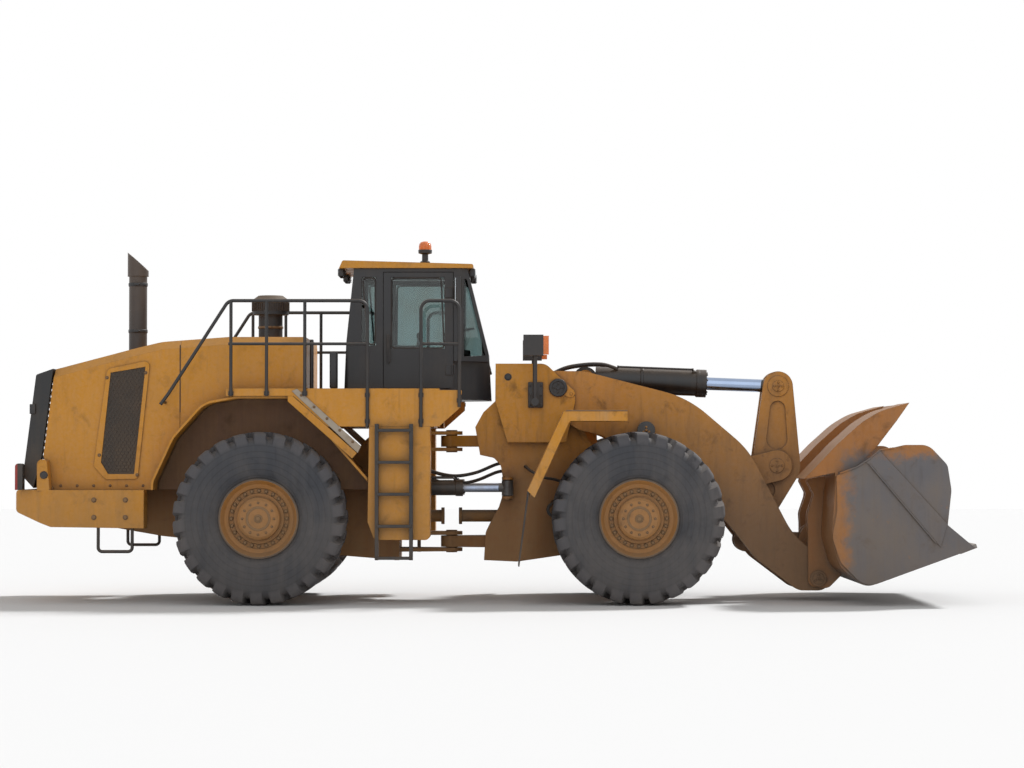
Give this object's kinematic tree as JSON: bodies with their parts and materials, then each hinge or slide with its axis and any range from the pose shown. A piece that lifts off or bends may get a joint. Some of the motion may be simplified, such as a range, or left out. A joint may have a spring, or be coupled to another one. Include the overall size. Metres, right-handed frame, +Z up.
{
  "type": "wheel loader",
  "caption": "Large articulated wheel loader with a cab, a lifting boom with a tilt lever, a wide bucket and rolling lugged tyres; doors, boom, bucket and frame hinge move.",
  "frame": {"origin": "on the ground under the middle of the machine's overall box", "axes": "+X points forward to the bucket, +Y to the machine's left, +Z up"},
  "size_m": [11.559, 3.796, 4.467],
  "materials": {
    "body_paint": "construction yellow enamel, dusty",
    "arm_paint": "construction yellow enamel, scuffed",
    "frame_paint": "construction yellow enamel, dusty",
    "dark_paint": "black enamel",
    "worn_steel": "steel worn bright by use",
    "chrome_rod": "hard chrome",
    "tyre_rubber": "dusty rubber",
    "rubber": "dull",
    "cab_glass": "tinted clear",
    "seat_cloth": "woven",
    "amber_lens": "clear amber",
    "mesh_black": "black enamel on punched sheet",
    "engine_paint": "painted casting"
  },
  "bodies": {
    "rear_half": {"rear_frame": "frame_paint", "engine_block": "engine_paint", "transmission": "engine_paint", "rear_driveshaft": "dark_paint", "rear_axle": "frame_paint", "hood": "body_paint", "rear_fenders": "body_paint", "counterweight": "body_paint", "radiator": "mesh_black", "side_grilles": "mesh_black", "exhaust_stack": "dark_paint", "air_precleaner": "dark_paint", "walkways": "body_paint", "side_tanks": "body_paint", "cab_platform": "body_paint", "ladders": "dark_paint", "tail_lamps": "dark_paint", "mirrors": "dark_paint", "handrails": "dark_paint", "cab_shell": "dark_paint", "cab_roof": "body_paint", "cab_glass": "cab_glass", "driver_seat": "seat_cloth", "steering_column": "dark_paint", "beacon": "amber_lens"},
    "grille_door": {"rear_grille": "mesh_black"},
    "right_door": {"cab_door_right": "dark_paint", "door_glass_right": "cab_glass"},
    "left_door": {"cab_door_left": "dark_paint", "door_glass_left": "cab_glass"},
    "front_half": {"front_frame": "frame_paint", "front_axle": "frame_paint", "front_driveshaft": "dark_paint", "front_fenders": "body_paint", "mud_flaps": "rubber", "headlamps": "dark_paint", "turn_lamps": "amber_lens"},
    "lift_arm": {"boom": "arm_paint"},
    "lever": {"tilt_lever": "arm_paint"},
    "link": {"tilt_link": "arm_paint"},
    "bucket_body": {"bucket": "worn_steel", "cutting_edge": "worn_steel"},
    "tilt_cylinder": {"tilt_barrel": "dark_paint"},
    "tilt_piston": {"tilt_rod": "chrome_rod"},
    "front_right_wheel": {"front_right_tyre": "tyre_rubber", "front_right_rim": "frame_paint"},
    "front_left_wheel": {"front_left_tyre": "tyre_rubber", "front_left_rim": "frame_paint"},
    "rear_right_wheel": {"rear_right_tyre": "tyre_rubber", "rear_right_rim": "frame_paint"},
    "rear_left_wheel": {"rear_left_tyre": "tyre_rubber", "rear_left_rim": "frame_paint"},
    "lift_cylinder_right": {"lift_barrel_right": "dark_paint"},
    "lift_piston_right": {"lift_rod_right": "chrome_rod"},
    "steering_cylinder_right": {"steering_barrel_right": "dark_paint"},
    "steering_piston_right": {"steering_rod_right": "chrome_rod"},
    "lift_cylinder_left": {"lift_barrel_left": "dark_paint"},
    "lift_piston_left": {"lift_rod_left": "chrome_rod"},
    "steering_cylinder_left": {"steering_barrel_left": "dark_paint"},
    "steering_piston_left": {"steering_rod_left": "chrome_rod"}
  },
  "joints": [
    {"name": "articulation", "type": "hinge", "parent": "rear_half", "child": "front_half", "pos_m": [-0.498, 0, 1.352], "axis": [0, 0, 1], "range_deg": [-40, 40]},
    {"name": "boom_lift", "type": "hinge", "parent": "front_half", "child": "lift_arm", "pos_m": [0.826, 0, 2.631], "axis": [0, -1, 0], "range_deg": [0, 82]},
    {"name": "bucket_tilt", "type": "hinge", "parent": "lift_arm", "child": "bucket_body", "pos_m": [4.03, 0, 0.282], "axis": [0, 1, 0], "range_deg": [-20, 150]},
    {"name": "lever_turn", "type": "hinge", "parent": "lift_arm", "child": "lever", "pos_m": [3.555, 0, 1.67], "axis": [0, -1, 0], "range_deg": [-6.79, 47.65]},
    {"name": "link_turn", "type": "hinge", "parent": "bucket_body", "child": "link", "pos_m": [3.925, 0, 0.705], "axis": [0, -1, 0], "range_deg": [-12.18, 88.08]},
    {"name": "tilt_cylinder_swing", "type": "hinge", "parent": "front_half", "child": "tilt_cylinder", "pos_m": [1.173, 0, 2.755], "axis": [0, -1, 0], "range_deg": [-0.5, 86.5]},
    {"name": "tilt_rod_slide", "type": "slide", "parent": "tilt_cylinder", "child": "tilt_piston", "axis": [0.9993, 0, -0.0386], "range_m": [-0.5649, 0.0797]},
    {"name": "right_door_hinge", "type": "hinge", "parent": "rear_half", "child": "right_door", "pos_m": [-0.478, -0.862, 3.3], "axis": [0, 0, 1], "range_deg": [0, 52]},
    {"name": "left_door_hinge", "type": "hinge", "parent": "rear_half", "child": "left_door", "pos_m": [-0.478, 0.862, 3.3], "axis": [0, 0, -1], "range_deg": [0, 52]},
    {"name": "grille_door_hinge", "type": "hinge", "parent": "rear_half", "child": "grille_door", "pos_m": [-5.623, 1.144, 2.1], "axis": [0, 0, -1], "range_deg": [0, 100]},
    {"name": "front_right_roll", "type": "hinge", "parent": "front_half", "child": "front_right_wheel", "pos_m": [1.777, -1.295, 1.041], "axis": [0, 1, 0], "continuous": true},
    {"name": "rear_right_roll", "type": "hinge", "parent": "rear_half", "child": "rear_right_wheel", "pos_m": [-2.773, -1.295, 1.041], "axis": [0, 1, 0], "continuous": true},
    {"name": "lift_right_swing", "type": "hinge", "parent": "front_half", "child": "lift_cylinder_right", "pos_m": [0.775, -0.7, 1.131], "axis": [0, -1, 0], "range_deg": [-0.5, 33.6]},
    {"name": "lift_right_slide", "type": "slide", "parent": "lift_cylinder_right", "child": "lift_piston_right", "axis": [0.7575, 0, 0.6529], "range_m": [-0.005, 1.1108]},
    {"name": "steering_right_swing", "type": "hinge", "parent": "rear_half", "child": "steering_cylinder_right", "pos_m": [-1.348, -0.6, 1.395], "axis": [0, 0, 1], "range_deg": [-18.31, 18.31]},
    {"name": "steering_right_slide", "type": "slide", "parent": "steering_cylinder_right", "child": "steering_piston_right", "axis": [1, 0, 0], "range_m": [-0.4151, 0.4151]},
    {"name": "front_left_roll", "type": "hinge", "parent": "front_half", "child": "front_left_wheel", "pos_m": [1.777, 1.295, 1.041], "axis": [0, 1, 0], "continuous": true},
    {"name": "rear_left_roll", "type": "hinge", "parent": "rear_half", "child": "rear_left_wheel", "pos_m": [-2.773, 1.295, 1.041], "axis": [0, 1, 0], "continuous": true},
    {"name": "lift_left_swing", "type": "hinge", "parent": "front_half", "child": "lift_cylinder_left", "pos_m": [0.775, 0.7, 1.131], "axis": [0, -1, 0], "range_deg": [-0.5, 33.6]},
    {"name": "lift_left_slide", "type": "slide", "parent": "lift_cylinder_left", "child": "lift_piston_left", "axis": [0.7575, 0, 0.6529], "range_m": [-0.005, 1.1108]},
    {"name": "steering_left_swing", "type": "hinge", "parent": "rear_half", "child": "steering_cylinder_left", "pos_m": [-1.348, 0.6, 1.395], "axis": [0, 0, 1], "range_deg": [-18.31, 18.31]},
    {"name": "steering_left_slide", "type": "slide", "parent": "steering_cylinder_left", "child": "steering_piston_left", "axis": [1, 0, 0], "range_m": [-0.4151, 0.4151]}
  ],
  "couplings": [
    {"joint": "lever_turn", "follows": "bucket_tilt", "ratio": 0.31433},
    {"joint": "link_turn", "follows": "bucket_tilt", "ratio": 0.5839},
    {"joint": "tilt_cylinder_swing", "follows": "boom_lift", "ratio": 1.0488},
    {"joint": "tilt_rod_slide", "follows": "bucket_tilt", "m_per_rad": -0.21388},
    {"joint": "lift_right_swing", "follows": "boom_lift", "ratio": 0.40368},
    {"joint": "lift_right_slide", "follows": "boom_lift", "m_per_rad": 0.77267},
    {"joint": "steering_right_swing", "follows": "articulation", "ratio": 0.44523},
    {"joint": "steering_right_slide", "follows": "articulation", "m_per_rad": 0.58749},
    {"joint": "lift_left_swing", "follows": "boom_lift", "ratio": 0.40368},
    {"joint": "lift_left_slide", "follows": "boom_lift", "m_per_rad": 0.77267},
    {"joint": "steering_left_swing", "follows": "articulation", "ratio": 0.44523},
    {"joint": "steering_left_slide", "follows": "articulation", "m_per_rad": -0.58749}
  ]
}
